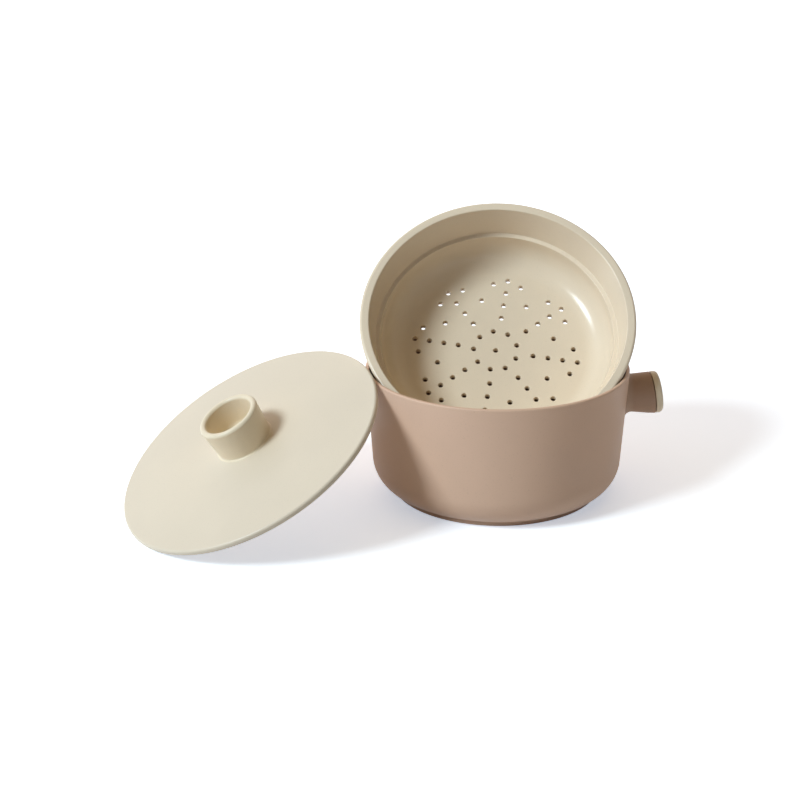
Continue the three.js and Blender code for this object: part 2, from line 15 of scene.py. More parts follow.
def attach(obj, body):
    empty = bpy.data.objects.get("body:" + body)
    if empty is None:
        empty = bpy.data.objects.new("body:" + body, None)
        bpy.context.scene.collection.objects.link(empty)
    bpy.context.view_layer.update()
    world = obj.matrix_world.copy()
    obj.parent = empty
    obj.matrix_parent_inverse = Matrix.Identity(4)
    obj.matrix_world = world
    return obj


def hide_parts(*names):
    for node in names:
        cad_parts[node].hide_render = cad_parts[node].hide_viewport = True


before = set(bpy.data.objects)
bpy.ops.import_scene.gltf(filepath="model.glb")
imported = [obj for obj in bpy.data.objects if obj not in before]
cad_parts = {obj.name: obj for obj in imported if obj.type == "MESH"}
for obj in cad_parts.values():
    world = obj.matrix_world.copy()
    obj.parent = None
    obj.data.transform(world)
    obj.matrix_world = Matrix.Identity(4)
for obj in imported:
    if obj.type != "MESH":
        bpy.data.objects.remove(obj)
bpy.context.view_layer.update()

bl_info = {
    "name": "Steamer Pot",
    "version": (1, 0, 0),
    "blender": (4, 5, 0),
    "location": "View3D > Sidebar > Steamer Pot",
    "description": "Builds a coated pot with a stub handle, a steaming insert and a lid",
    "category": "Object",
}

MM = 0.001

# Facets
AROUND = 224  # round the large turned pieces
AROUND_SMALL = 96  # round handle, cap, knob and gasket
AROUND_FASTENER = 48
AROUND_HOLE = 20
HEXAGON = 6
FINE_STEPS = 3  # across the rounds of washers, holes and the grip's end
ROUND_STEPS = 6  # across a small rounded edge
RIM_STEPS = 8  # across the rounds of insert and lid
KNOB_STEPS = 10  # across the rounds of knob and end cap
CORNER_STEPS = 22  # across a large round corner
CROWN_STEPS = 18  # across the lid's crown
GRIP_STEPS = 6  # along the grip, from its flare to its end
CAGE_POINTS = {"u": 2, "v": 13, "w": 5}  # lattice that bends the grip's root
SMOOTH_ANGLE = radians(24)
MERGE_DISTANCE = 2e-6

# Lengths without a setting of their own
SEAM = 0.05 * MM  # air left between two faces that touch
OVERSHOOT = 1 * MM  # how far a cutting tool stands out of its piece
PUNCH_OVERSHOOT = 0.5 * MM
BOLT_PLAY = 0.4 * MM  # gap round the bolt in the web and in its washer
BOLT_TIP_GAP = 1 * MM  # from the wall's outside to the bolt's tip
SOCKET_DEPTH = 2 * MM
GRIP_RUN = (0.1 * MM, 3 * MM)  # slope of the grip's side at its end: out and along
END_RING = 0.3 * MM  # depth of the end ring that is tilted
FLOOR_RING = 0.6 * MM  # from the round corner in to the first ring of the insert's floor
FLOOR_DROP = 0.2 * MM  # keeps the studio floor clear of the base

# Rounds on edges without a setting of their own
THIN_EDGE = 0.2 * MM  # washers, gasket and the undersides of heads
GRIP_EDGE = 0.25 * MM
SLEEVE_EDGE = 0.3 * MM  # sleeves, the bore of the pot's boss and the disc's top
CAP_EDGE = 0.4 * MM  # the end cap at its seam
FINE_EDGE = 0.5 * MM  # disc, spigot, shoulder, the bolt's head and the tips
BOSS_EDGE = 0.6 * MM
RING_ROOT = 0.8 * MM  # where the locating ring meets the lid
COLLAR_EDGE = 0.9 * MM
SOFT_EDGE = 1.2 * MM  # locating ring, the screw's head and the boss in the knob
BOSS_ROOT = 1.5 * MM  # where the boss meets the knob's floor

# Coatings and resins by slot: name, least and most roughness, size and shade of the clouds, size
# and height of the peel, size of the specks. Sizes are in millimetres.
SKINS = {
    # matt, with a fine sprayed peel
    "pot_coating": ("sprayed_non_stick_coating", (0.46, 0.56), (40, 0.015), (1.1, 0.012), 0.9),
    # wet-looking, flowed smooth, with slow waves
    "insert_glaze": ("glossy_ceramic_coating", (0.2, 0.25), (45, 0.012), (9, 0.02), 0.7),
    # satin, with a faint peel
    "lid_coating": ("satin_ceramic_coating", (0.34, 0.42), (50, 0.012), (1.6, 0.01), 0.7),
    # matt, with a spark-eroded grain
    "grip_resin": ("moulded_phenolic_resin", (0.5, 0.6), (15, 0.015), (0.8, 0.012), 0.8),
    # satin, evenly coloured
    "cream_resin": ("moulded_urea_resin", (0.29, 0.34), (15, 0.012), (1.4, 0.008), 0.7),
    # dull, with a talc-fine grain
    "silicone": ("pressed_silicone", (0.65, 0.8), (8, 0.02), (0.6, 0.01), 0.6),
}
# Metals by slot: name, least and most roughness, spacing and depth of the turning lines
METALS = {
    "stainless_steel": ("lathe_faced_stainless_steel", (0.26, 0.4), 0.5, 0.004),
    "brass": ("turned_brass", (0.24, 0.38), 0.4, 0.004),
}
SKIN_IOR = 1.38  # how strongly coatings and resins reflect
CLOUD_RANGE = (0.3, 0.7)  # noise over which shade and roughness change
SPECK_RANGE = (0.68, 0.8)  # noise that turns into a speck
SPECK_SHADE = (1.0, 0.94)
WAVE_TURNS = 20  # radians that a wave texture turns in a metre at scale 1

# Light of the room
ROOM_FOCUS = 6.0  # how narrow the light from each side of the room is
BACK_WAY = (0.0, 0.98, 0.21)
LEFT_WAY = (-0.91, 0.0, 0.42)
TOP_WAY = (0, 0, 1)


# Properties a user would change

def mm(name, description, millimetres):
    """A length property whose default is given in millimetres."""
    return FloatProperty(
        name=name, description=description, default=millimetres * MM, unit="LENGTH", precision=5
    )


def position(name, description, *millimetres):
    """A place in space whose default is given in millimetres."""
    return FloatVectorProperty(
        name=name, description=description, default=[value * MM for value in millimetres],
        unit="LENGTH", precision=5,
    )


def angle(name, description, degrees):
    """An angle property whose default is given in degrees."""
    return FloatProperty(
        name=name, description=description, default=radians(degrees), subtype="ANGLE"
    )


def level(name, description, value):
    """A plain number, such as a brightness."""
    return FloatProperty(name=name, description=description, default=value)


def linear(code):
    """An sRGB hex colour as linear red, green and blue."""
    parts = [int(code[i:i + 2], 16) / 255 for i in (1, 3, 5)]
    return tuple(p / 12.92 if p <= 0.04045 else ((p + 0.055) / 1.055) ** 2.4 for p in parts)


def colour(name, description, code):
    """A colour property whose default is an sRGB hex colour."""
    return FloatVectorProperty(
        name=name, description=description, default=linear(code), subtype="COLOR", min=0, max=1
    )


class PotSizes(PropertyGroup):
    """Sizes of the pot and of the disc in its base."""

    rim_radius: mm("Rim radius", "Outside radius at the rim", 100)
    height: mm("Height", "From the floor to the rim", 98)
    taper: angle("Taper", "How far the wall leans out towards the rim", 3.6)
    wall: mm("Wall", "Thickness of the wall", 3.2)
    rim_round: mm("Rim round", "Round on both edges of the rim", 1.2)
    floor: mm("Floor", "Height of the inside floor", 6.5)
    corner: mm("Corner", "Radius of the round corner above the foot", 25)
    corner_lift: mm("Corner lift", "Lowest level of the round corner", 1.6)
    foot_inset: mm("Foot inset", "From the wall in to the foot's side", 16)
    foot_edge: mm("Foot edge", "Round on the foot's outer edge", 0.8)
    disc_margin: mm("Disc margin", "Width of the foot ring round the disc", 9)
    disc_thickness: mm("Disc thickness", "Thickness of the steel disc", 2.5)
    disc_gap: mm("Disc gap", "Gap round the steel disc", 0.3)


class HandleSizes(PropertyGroup):
    """Sizes of the stub handle, its bolt and its end cap."""

    drop: mm("Drop", "From the pot's rim down to the handle's axis", 25)
    reach: mm("Reach", "From the wall to the seam of the end cap", 21)
    root_radius: mm("Root radius", "Radius just outside the flare", 14.7)
    end_radius: mm("End radius", "Radius at the seam and of the cap", 16.1)
    end_lean: angle("End lean", "How far the end plane faces upwards", 8)
    flare: mm("Flare", "Radius of the flare that meets the wall", 5)
    flare_edge: mm("Flare edge", "Thickness of the flare's thin edge", 0.2)
    bore: mm("Bore", "Radius of the bore behind the cap", 9.8)
    pocket: mm("Pocket", "Radius of the pocket round the boss", 9.2)
    web: mm("Web", "Thickness of the wall that the bolt clamps", 3.5)
    web_depth: mm("Web depth", "From the seam in to the bolt's washer", 10)
    cap_thickness: mm("Cap thickness", "Thickness of the end cap", 6.2)
    cap_round: mm("Cap round", "Round on the cap's outer edge", 3)
    seam_gap: mm("Seam gap", "Width of the seam in front of the cap", 0.6)
    fit_gap: mm("Fit gap", "Gap round the fastened pieces", 0.3)
    spigot_radius: mm("Spigot radius", "Radius of the cap's spigot", 9)
    spigot_length: mm("Spigot length", "Length of the cap's spigot", 3)
    boss_radius: mm("Boss radius", "Radius of the boss on the pot's wall", 8.9)
    bolt_radius: mm("Bolt radius", "Radius of the bolt's shank", 2.5)
    bolt_head_radius: mm("Bolt head radius", "Radius of the bolt's head", 4.25)
    bolt_head_height: mm("Bolt head height", "Height of the bolt's head", 4)
    bolt_socket: mm("Bolt socket", "Radius of the hexagon socket's corners", 2.3)
    washer_radius: mm("Washer radius", "Radius of the bolt's washer", 6.5)
    washer_thickness: mm("Washer thickness", "Thickness of the bolt's washer", 1.2)
    sleeve_radius: mm("Sleeve radius", "Radius of the threaded insert", 4.4)


class InsertSizes(PropertyGroup):
    """Sizes and stance of the steaming insert, measured down from its rim."""

    rim_radius: mm("Rim radius", "Widest radius, at the rounded rim", 104)
    rim_width: mm("Rim width", "Width of the rim", 7)
    rim_round: mm("Rim round", "Round on the rim's outer edge", 2.2)
    rim_inner_round: mm("Rim inner round", "Round on the rim's inner edge", 0.9)
    collar_depth: mm("Collar depth", "Rim to the shoulder that sits on the pot", 29)
    collar_foot: mm("Collar foot", "Radius of the collar at the shoulder", 98.9)
    body_top: mm("Body top", "Radius of the body just below the shoulder", 95.3)
    ledge_depth: mm("Ledge depth", "Rim to the ledge inside", 27)
    ledge_width: mm("Ledge width", "Width of the ledge", 3.3)
    ledge_drop: mm("Ledge drop", "From the ledge's outer edge to its inner one", 0.4)
    ledge_round: mm("Ledge round", "Round on both edges of the ledge", 0.5)
    wall: mm("Wall", "Thickness of the body's wall", 5.8)
    floor_depth: mm("Floor depth", "Rim to the inside floor", 52)
    floor: mm("Floor", "Thickness of the floor", 4.6)
    corner: mm("Corner", "Radius of the inside corner", 20)
    hole_radius: mm("Hole radius", "Radius of a steam hole", 1.95)
    hole_round: mm("Hole round", "Round on a steam hole's edges", 0.55)
    ring_radius: mm("Ring radius", "Radius of the inner ring of holes", 17.2)
    ring_count: IntProperty(name="Ring count", description="Holes in the inner ring", default=9)
    arm_count: IntProperty(name="Arm count", description="Straight arms of holes", default=8)
    arm_holes: IntProperty(name="Arm holes", description="Holes along one arm", default=4)
    arm_start: mm("Arm start", "Radius of an arm's first hole", 29.6)
    arm_pitch: mm("Arm pitch", "Spacing of the holes along an arm", 11.6)
    flank_radius: mm("Flank radius", "Radius of the holes beside an arm", 60.8)
    flank_angle: angle("Flank angle", "From an arm to the hole on each side", 10.4)
    between_radius: mm("Between radius", "Radius of the hole between two arms", 46.7)
    ring_turn: angle("Ring turn", "Turn of the inner ring", 105.6)
    arm_turn: angle("Arm turn", "Turn of the arms", 170.7)
    tilt: angle("Tilt", "Tilt of the insert in the pot's mouth", 43.1)
    lean: angle("Lean", "Direction that the mouth faces", 265.6)
    place: position(
        "Place", "Centre of the rim's plane along the lean, across it and up", -1.8, 0, 135.02
    )


class LidSizes(PropertyGroup):
    """Sizes and stance of the lid and of its hollow knob."""

    radius: mm("Radius", "Radius of the lid", 105)
    thickness: mm("Thickness", "Thickness of the plate", 4.6)
    crown: mm("Crown", "Height of the crown over the edge", 5)
    edge_round: mm("Edge round", "Round on both edges", 1.9)
    ring_radius: mm("Ring radius", "Radius of the locating ring underneath", 94)
    ring_width: mm("Ring width", "Width of the locating ring", 4)
    ring_height: mm("Ring height", "Height of the locating ring", 4)
    land: mm("Land", "Radius of the flat land under the knob", 24.1)
    knob_height: mm("Knob height", "Height of the knob", 26.3)
    knob_top: mm("Knob top", "Radius of the knob at its rim", 23.3)
    knob_foot: mm("Knob foot", "Radius of the knob at its foot", 21.2)
    knob_flare: mm("Knob flare", "Round that meets the lid", 1.4)
    knob_wall: mm("Knob wall", "Thickness of the knob's wall", 4.8)
    knob_round: mm("Knob round", "Round on the knob's rim", 2.3)
    knob_floor: mm("Knob floor", "Thickness of the knob's floor", 4.9)
    cup_round: mm("Cup round", "Round at the bottom of the cup", 4)
    boss_radius: mm("Boss radius", "Radius of the boss in the cup", 7)
    boss_height: mm("Boss height", "Height of the boss in the cup", 5.5)
    gasket_radius: mm("Gasket radius", "Radius of the gasket", 17.6)
    gasket_thickness: mm("Gasket thickness", "Thickness of the gasket", 0.8)
    sleeve_radius: mm("Sleeve radius", "Radius of the brass insert", 3.7)
    sleeve_length: mm("Sleeve length", "Length of the brass insert", 7)
    screw_radius: mm("Screw radius", "Radius of the knob's screw", 2)
    screw_play: mm("Screw play", "Gap round the screw in the lid", 0.4)
    screw_head_radius: mm("Screw head radius", "Radius of the screw's head", 4.6)
    screw_head_height: mm("Screw head height", "Height of the screw's head", 2.6)
    slot_width: mm("Slot width", "Width of the slot in the screw's head", 1.1)
    slot_depth: mm("Slot depth", "Depth of the slot in the screw's head", 1.2)
    washer_radius: mm("Washer radius", "Radius of the screw's washer", 6.5)
    washer_thickness: mm("Washer thickness", "Thickness of the screw's washer", 1.2)
    gap: mm("Gap", "Gap between the fastened pieces", 0.3)
    tilt: angle("Tilt", "Tilt of the leaning lid", 29.2)
    lean: angle("Lean", "Direction that the knob points", 209.6)
    place: position(
        "Place", "Centre of the edge's plane along the lean, across it and up",
        185.75, -53.5, 54.48,
    )


class Finishes(PropertyGroup):
    """Colours of the finishes, by slot, and of the painted shade inside the pot."""

    pot_coating: colour("Pot coating", "Matt dusty-pink coating of the pot", "#dbb79e")
    # Painted shade: the pot's inside faces get this dark colour, which stands for the shade seen
    # through the steam holes.
    pot_lining: colour("Pot lining", "Dark coating of the pot's inside", "#796555")
    grip_resin: colour("Grip resin", "Matt dusty-pink resin of the grip", "#b4947e")
    insert_glaze: colour("Insert glaze", "Glossy cream coating of the insert", "#e8d6bd")
    lid_coating: colour("Lid coating", "Satin cream coating of the lid", "#e1d3be")
    cream_resin: colour("Cream resin", "Satin cream resin of knob and cap", "#ebdbc0")
    stainless_steel: colour("Stainless steel", "Lathe-faced stainless steel", "#b9babb")
    brass: colour("Brass", "Turned brass", "#b99a55")
    silicone: colour("Silicone", "Silicone of the gasket", "#8d867c")


class StageSettings(PropertyGroup):
    """Camera, light and floor."""

    camera_place: position("Camera place", "Where the camera stands", -108.8, -1035.3, 449)
    camera_yaw: angle("Camera yaw", "Turn of the view to the right of +Y", 1.93)
    camera_pitch: angle("Camera pitch", "How far the view looks down", 20.05)
    camera_roll: angle("Camera roll", "Roll of the view", -0.58)
    lens: level("Lens", "Focal length in millimetres on a 36 mm sensor", 64.94)
    key_azimuth: angle("Key azimuth", "Direction of the key light from +X", 208)
    key_height: angle("Key height", "Height of the key light over the horizon", 37.5)
    key_softness: angle("Key softness", "Angle that the key light fills", 18)
    key_level: level("Key level", "Strength of the key light", 2.576)
    key_tint: colour("Key tint", "Colour of the key light", "#e3f5ff")
    back_level: level("Back level", "Brightness of the room's back wall", 2.35)
    back_tint: colour("Back tint", "Colour of the room's back wall", "#ffeee3")
    left_level: level("Left level", "Brightness of the room's left wall", 1.05)
    left_tint: colour("Left tint", "Colour of the room's left wall", "#dce5ff")
    top_level: level("Top level", "Brightness of the room's ceiling", 0.74)
    top_tint: colour("Top tint", "Colour of the room's ceiling", "#ffe1a7")
    floor_size: mm("Floor size", "Width of the floor", 30000)
    floor_bounce: level("Floor bounce", "Share of light that the floor throws back", 0.8)
    floor_tint: colour("Floor tint", "Colour of the floor as it is seen", "#ffffff")
    floor_lift: colour("Floor lift", "White that the floor shows by itself", "#afb7c2")


class SteamerPotSettings(PropertyGroup):
    """All settings of the steamer pot."""

    pot: PointerProperty(type=PotSizes)
    handle: PointerProperty(type=HandleSizes)
    insert: PointerProperty(type=InsertSizes)
    lid: PointerProperty(type=LidSizes)
    finishes: PointerProperty(type=Finishes)
    stage: PointerProperty(type=StageSettings)


# Sections: points (radius, height) that are spun about Z

def arc(r, z, radius, start, end, steps):
    """Points of an arc about (r, z), from one angle to another."""
    turns = [start + (end - start) * i / steps for i in range(steps + 1)]
    return [(r + radius * cos(t), z + radius * sin(t)) for t in turns]


def rounded(corners, steps=ROUND_STEPS):
    """The section through corners (radius, height) or (radius, height, round)."""
    section = []
    for i, corner in enumerate(corners):
        point = Vector(corner[:2])
        if len(corner) == 2:
            section.append(tuple(point))
            continue
        before = (Vector(corners[i - 1][:2]) - point).normalized()
        after = (Vector(corners[i + 1][:2]) - point).normalized()
        half = before.angle(after) / 2
        middle = point + (before + after).normalized() * (corner[2] / sin(half))
        first = point + before * (corner[2] / tan(half)) - middle
        start = atan2(first.y, first.x)
        turn = copysign(pi - 2 * half, after.cross(before))
        section += arc(*middle, corner[2], start, start + turn, steps)
    return section


# Modelling steps

def only(piece):
    """Makes a piece the only one selected."""
    bpy.ops.object.select_all(action="DESELECT")
    piece.select_set(True)
    bpy.context.view_layer.objects.active = piece


def settle(piece):
    """Moves a piece's place, turn and scale into its mesh."""
    only(piece)
    bpy.ops.object.transform_apply(location=True, rotation=True, scale=True)


def modify(piece, kind, **settings):
    """Adds a modifier with its settings to a piece and applies it."""
    only(piece)
    bpy.ops.object.modifier_add(type=kind)
    modifier = piece.modifiers[-1]
    for key, value in settings.items():
        setattr(modifier, key, value)
    bpy.ops.object.modifier_apply(modifier=modifier.name)


def join(piece, others):
    """Joins other pieces to a piece."""
    only(piece)
    for other in others:
        other.select_set(True)
    bpy.ops.object.join()


def plane(size, location, scale=(1, 1, 1)):
    """A flat square, or a rectangle where it is scaled."""
    bpy.ops.mesh.primitive_plane_add(size=size, location=location)
    piece = bpy.context.object
    piece.scale = scale
    settle(piece)
    return piece


def turned(section, around=AROUND, closed=False):
    """A section drawn by extruding a point, then spun about Z. A closed one is ring-shaped."""
    r, z = section[0]
    piece = plane(MM, (r, 0, z))
    bpy.ops.object.mode_set(mode="EDIT")
    bpy.ops.mesh.select_all(action="SELECT")
    bpy.ops.mesh.merge(type="CENTER")
    for next_r, next_z in [*section[1:], *([section[0]] if closed else [])]:
        step = (next_r - r, 0, next_z - z)
        bpy.ops.mesh.extrude_region_move(TRANSFORM_OT_translate={"value": step})
        r, z = next_r, next_z
    bpy.ops.mesh.select_all(action="SELECT")
    bpy.ops.mesh.remove_doubles(threshold=MERGE_DISTANCE)
    bpy.ops.mesh.spin(steps=around, angle=tau, center=(0, 0, 0), axis=(0, 0, 1))
    bpy.ops.mesh.select_all(action="SELECT")
    bpy.ops.mesh.remove_doubles(threshold=MERGE_DISTANCE)
    bpy.ops.mesh.normals_make_consistent(inside=False)
    bpy.ops.object.mode_set(mode="OBJECT")
    return piece


def washer(inner, outer, low, high, edge, around=AROUND_FASTENER):
    """A flat ring with softened edges."""
    middle = (low + high) / 2
    section = rounded([
        (inner, middle), (inner, low, edge), (outer, low, edge),
        (outer, high, edge), (inner, high, edge), (inner, middle),
    ], FINE_STEPS)
    return turned(section[:-1], around, closed=True)


def select_beyond(piece, x):
    """In edit mode, selects the vertices that lie further out along +X."""
    bpy.ops.mesh.select_all(action="DESELECT")
    bpy.ops.mesh.select_mode(type="VERT")
    shape = bmesh.from_edit_mesh(piece.data)
    for vertex in shape.verts:
        if vertex.co.x > x:
            vertex.select_set(True)
    shape.select_flush_mode()
    bmesh.update_edit_mesh(piece.data)


def cut(piece, tool):
    """Cuts a tool's shape out of a piece and removes the tool."""
    modify(piece, "BOOLEAN", operation="DIFFERENCE", solver="EXACT", object=tool)
    bpy.data.objects.remove(tool)


def lay_along_handle(piece, z):
    """Lays a piece turned about Z along the handle's axis."""
    piece.rotation_euler = (0, pi / 2, 0)
    piece.location = (0, 0, z)
    settle(piece)


def stand(piece, stance):
    """Tilts a piece towards its lean and sets it in its place."""
    turn = Matrix.Rotation(stance.lean, 4, "Z")
    tilt = Matrix.Rotation(stance.tilt, 4, "Y")
    piece.matrix_world = turn @ Matrix.Translation(stance.place) @ tilt
    settle(piece)


def dress(piece, node, body, slot, settings):
    """Smooths a piece, gives it its material and ties it to the node and body it stands for."""
    piece.name = piece.data.name = f"{node}_visual"
    only(piece)
    bpy.ops.object.shade_smooth_by_angle(angle=SMOOTH_ANGLE)
    modify(piece, "WEIGHTED_NORMAL", keep_sharp=True)
    piece.data.materials.clear()
    piece.data.materials.append(slot_material(slot, settings))
    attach(piece, body)
    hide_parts(node)


# Materials

def add_node(tree, kind, inputs=None, **settings):
    """Adds a node with its settings, its values and its links from other nodes' sockets."""
    node = tree.nodes.new(kind)
    for key, value in settings.items():
        setattr(node, key, value)
    for key, value in (inputs or {}).items():
        if isinstance(value, NodeSocket):
            tree.links.new(value, node.inputs[key])
        else:
            node.inputs[key].default_value = value
    return node


def maths(tree, operation, first, second):
    """The result of a maths node."""
    inputs = {0: first, 1: second}
    return add_node(tree, "ShaderNodeMath", inputs, operation=operation).outputs["Value"]


def vectors(tree, operation, first, second):
    """The result of a vector maths node, whose second input is a number where it scales."""
    inputs = {0: first, "Scale" if operation == "SCALE" else 1: second}
    node = add_node(tree, "ShaderNodeVectorMath", inputs, operation=operation)
    return node.outputs["Value" if operation == "DOT_PRODUCT" else "Vector"]


def ranged(tree, value, before, after, **settings):
    """A value moved from one range to another."""
    return add_node(tree, "ShaderNodeMapRange", {
        "Value": value, "From Min": before[0], "From Max": before[1],
        "To Min": after[0], "To Max": after[1],
    }, **settings).outputs["Result"]


def grain(tree, size, detail=2.0):
    """Noise on Object coordinates whose lumps are about one size across, in metres."""
    spot = add_node(tree, "ShaderNodeTexCoord").outputs["Object"]
    inputs = {"Vector": spot, "Scale": 1 / size, "Detail": detail}
    return add_node(tree, "ShaderNodeTexNoise", inputs).outputs["Fac"]


def paint_inside_shade(tree, outside, inside_shade, middle):
    """One colour outside and a painted shade colour on the faces of a hollow that look at its
    middle.
    """
    spot = add_node(tree, "ShaderNodeTexCoord").outputs
    inwards = vectors(tree, "SUBTRACT", middle, spot["Object"])
    facing = vectors(tree, "DOT_PRODUCT", inwards, spot["Normal"])
    # faces that look at the middle take the painted shade colour
    inside = maths(tree, "GREATER_THAN", facing, 0.0)
    change = vectors(tree, "SCALE", Vector(inside_shade) - Vector(outside), inside)
    return vectors(tree, "ADD", outside, change)


def surface(tree, inputs, height, depth):
    """Ends a material in a shader whose surface rises and falls by a depth in metres."""
    bump = add_node(tree, "ShaderNodeBump", {"Height": height, "Distance": depth})
    inputs = {**inputs, "Normal": bump.outputs["Normal"]}
    shader = add_node(tree, "ShaderNodeBsdfPrincipled", inputs)
    add_node(tree, "ShaderNodeOutputMaterial", {"Surface": shader.outputs["BSDF"]})


def coating(tree, base, roughness, cloud, peel, speck):
    """A coloured skin: faint clouds in its colour, fine specks and an orange-peel surface."""
    soft = {"interpolation_type": "SMOOTHERSTEP"}
    clouds = grain(tree, cloud[0] * MM)
    shade = ranged(tree, clouds, CLOUD_RANGE, (1 - cloud[1], 1 + cloud[1]), **soft)
    specks = ranged(tree, grain(tree, speck * MM, 0.0), SPECK_RANGE, SPECK_SHADE)
    surface(tree, {
        "Base Color": vectors(tree, "SCALE", base, maths(tree, "MULTIPLY", shade, specks)),
        "Roughness": ranged(tree, clouds, CLOUD_RANGE, roughness, **soft),
        "IOR": SKIN_IOR,
    }, grain(tree, peel[0] * MM, 1.0), peel[1] * MM)


def metal(tree, base, roughness, line, depth):
    """A machined metal: fine turning lines about Z and a roughness that follows them."""
    lines = add_node(tree, "ShaderNodeTexWave", {
        "Vector": add_node(tree, "ShaderNodeTexCoord").outputs["Object"],
        "Scale": tau / (WAVE_TURNS * line * MM),
        "Distortion": 0.6, "Detail": 2.0, "Detail Scale": 3.0,
    }, wave_type="RINGS", rings_direction="Z").outputs["Fac"]
    surface(tree, {
        "Base Color": (*base, 1),
        "Metallic": 1.0,
        "Roughness": ranged(tree, lines, (0.0, 1.0), roughness),
    }, lines, depth * MM)


def new_material(name):
    """A material with an empty node tree."""
    material = bpy.data.materials.new(name)
    material.use_nodes = True
    material.node_tree.nodes.clear()
    return material


def slot_material(slot, settings):
    """A slot's material, made at its first use. The pot's inside gets a painted shade."""
    name, *look = SKINS[slot] if slot in SKINS else METALS[slot]
    if name in bpy.data.materials:
        return bpy.data.materials[name]
    material = new_material(name)
    tree = material.node_tree
    base = getattr(settings.finishes, slot)
    # painted shade on the pot's inside faces
    if slot == "pot_coating":
        base = paint_inside_shade(tree, base, settings.finishes.pot_lining, (0, 0, settings.pot.height / 2))
    make = coating if slot in SKINS else metal
    make(tree, base, *look)
    return material


# Places that several pieces share

def pot_outer(pot, z):
    """Outside radius of the pot's wall at a height."""
    return pot.rim_radius - (pot.height - z) * tan(pot.taper)


def handle_stations(settings):
    """Heights and distances along the handle, measured out from the pot's axis."""
    pot, handle = settings.pot, settings.handle
    z = pot.height - handle.drop
    wall = pot_outer(pot, z)
    seam = wall + handle.reach
    web = seam - handle.web_depth
    return z, wall, seam, web


def foot_radii(pot):
    """Radii of the foot and of the steel disc inside its ring."""
    foot = pot_outer(pot, pot.corner_lift + pot.corner) - pot.foot_inset
    return foot, foot - pot.disc_margin


class BuildOperator:
    """What the building operators share."""

    bl_options = {"REGISTER", "UNDO"}


class STEAMER_OT_pot_body(BuildOperator, Operator):
    """Turns the pot: foot, round corner, tapered wall, rounded rim and inside floor"""

    bl_idname = "steamer.pot_body"
    bl_label = "Pot body"

    def execute(self, context):
        settings = context.scene.steamer_pot
        pot, handle = settings.pot, settings.handle
        foot, disc = foot_radii(pot)
        recess = disc + pot.disc_gap
        recess_z = pot.disc_thickness + pot.disc_gap
        corner_z = pot.corner_lift + pot.corner
        corner_r = pot_outer(pot, corner_z) - pot.corner / cos(pot.taper)
        foot_turn = -acos((foot - corner_r) / pot.corner)
        foot_top = corner_z + pot.corner * sin(foot_turn)
        inner_corner = pot.corner - pot.wall
        floor_r = pot_outer(pot, pot.floor) - pot.wall
        rim = pot.rim_radius - pot.wall
        section = [
            *rounded([
                (0, recess_z),
                (recess, recess_z),
                (recess, 0, pot.foot_edge / 2),
                (foot, 0, pot.foot_edge),
                (foot, foot_top),
            ]),
            *arc(corner_r, corner_z, pot.corner, foot_turn, -pot.taper, CORNER_STEPS)[1:],
            *rounded([
                (pot_outer(pot, corner_z), corner_z),
                (pot.rim_radius, pot.height, pot.rim_round),
                (rim, pot.height, pot.rim_round),
                (pot_outer(pot, corner_z) - pot.wall, corner_z),
            ])[1:-1],
            *rounded([
                (rim, pot.height),
                (floor_r, pot.floor, inner_corner),
                (0, pot.floor),
            ], CORNER_STEPS)[1:],
        ]
        piece = turned(section)
        z, wall, _, web = handle_stations(settings)
        boss_end = web - handle.web - handle.fit_gap
        sleeve = handle.sleeve_radius + handle.fit_gap
        boss = turned(rounded([
            (0, wall - pot.wall / 2),
            (handle.boss_radius, wall - pot.wall / 2),
            (handle.boss_radius, boss_end, BOSS_EDGE),
            (sleeve, boss_end, SLEEVE_EDGE),
            (sleeve, wall),
            (0, wall),
        ]), AROUND_FASTENER)
        lay_along_handle(boss, z)
        join(piece, [boss])
        dress(piece, "pot_body", "pot", "pot_coating", settings)
        return {"FINISHED"}


class STEAMER_OT_base_disc(BuildOperator, Operator):
    """Turns the steel disc that is let into the underside"""

    bl_idname = "steamer.base_disc"
    bl_label = "Base disc"

    def execute(self, context):
        settings = context.scene.steamer_pot
        _, radius = foot_radii(settings.pot)
        piece = turned(rounded([
            (0, 0),
            (radius, 0, FINE_EDGE),
            (radius, settings.pot.disc_thickness, SLEEVE_EDGE),
            (0, settings.pot.disc_thickness),
        ]))
        dress(piece, "base_disc", "pot", "stainless_steel", settings)
        return {"FINISHED"}


